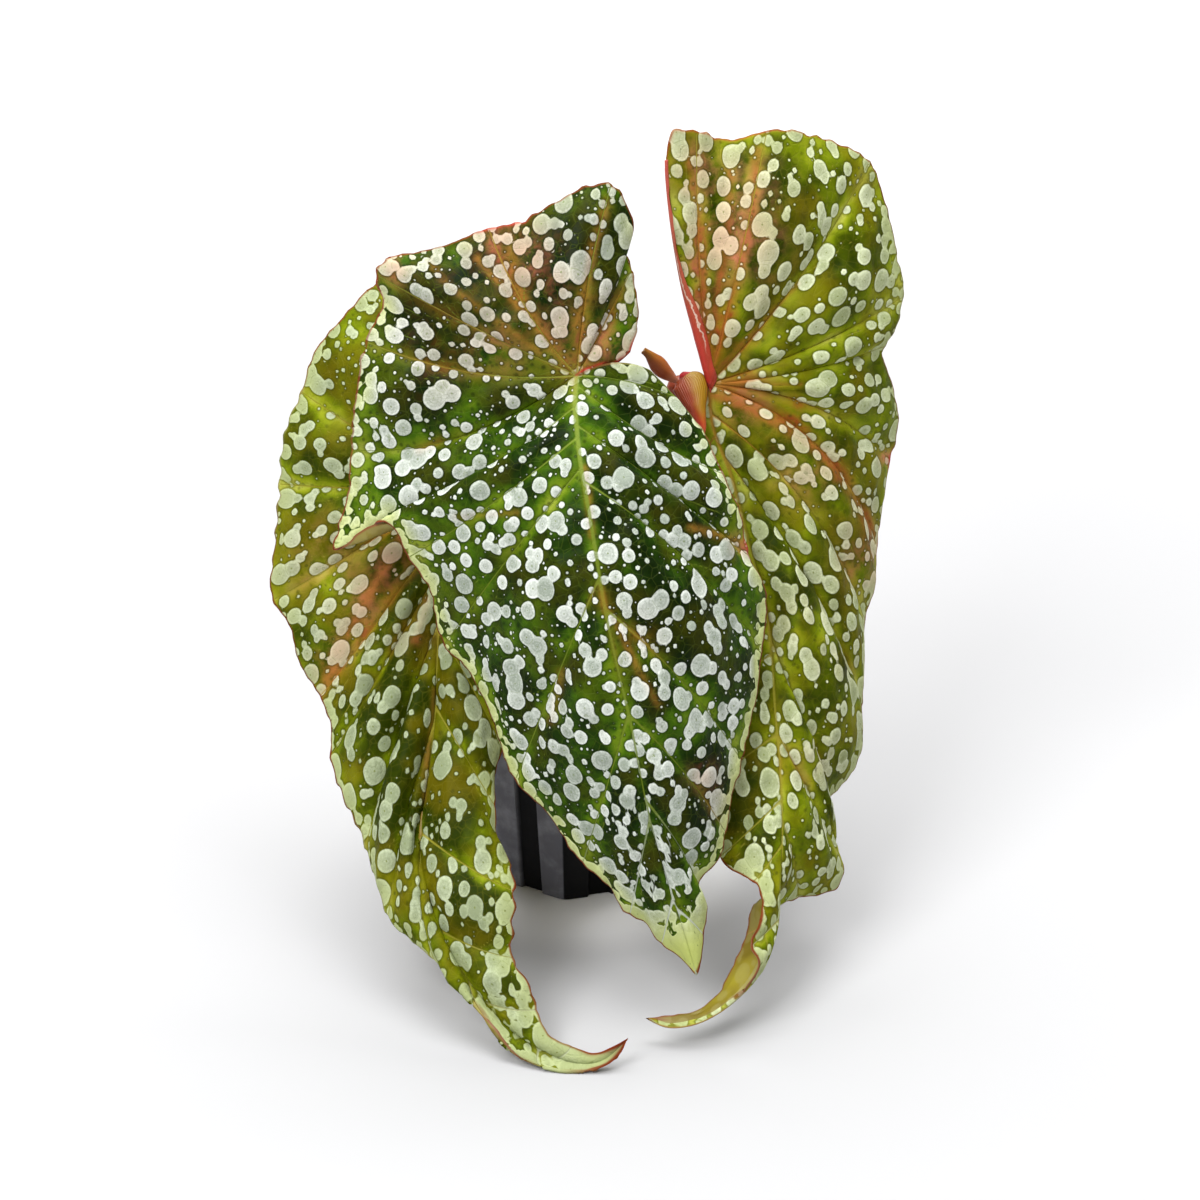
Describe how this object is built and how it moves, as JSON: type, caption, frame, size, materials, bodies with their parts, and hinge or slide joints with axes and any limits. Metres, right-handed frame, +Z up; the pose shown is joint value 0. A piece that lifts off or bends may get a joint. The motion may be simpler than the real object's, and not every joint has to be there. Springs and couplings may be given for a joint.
{
  "type": "potted begonia",
  "caption": "Angel-wing begonia with large silver-spotted leaves on red stalks, growing in a small black fluted nursery pot.",
  "frame": {"origin": "middle of the pot's foot, on the surface that it stands on", "axes": "+Z up, -Y towards the front leaf, +X to the right as seen from the front"},
  "size_m": [0.1998, 0.1721, 0.2509],
  "materials": {
    "black_plastic": "satin black moulded plastic",
    "potting_mix": "crumbly dark potting mix",
    "leaf_green": "satin green leaf with silver-white spots and thin red-brown edges",
    "stalk_red": "smooth crimson stalk",
    "sheath_brown": "orange-brown papery sheath and stem"
  },
  "bodies": {
    "root": {"pot": "black_plastic", "soil": "potting_mix", "cane": "sheath_brown", "petiole_front": "stalk_red", "petiole_left": "stalk_red", "petiole_right": "stalk_red", "stipule_upper": "sheath_brown", "stipule_lower": "sheath_brown", "leaf_front": "leaf_green", "leaf_left": "leaf_green", "leaf_right": "leaf_green"}
  },
  "joints": []
}
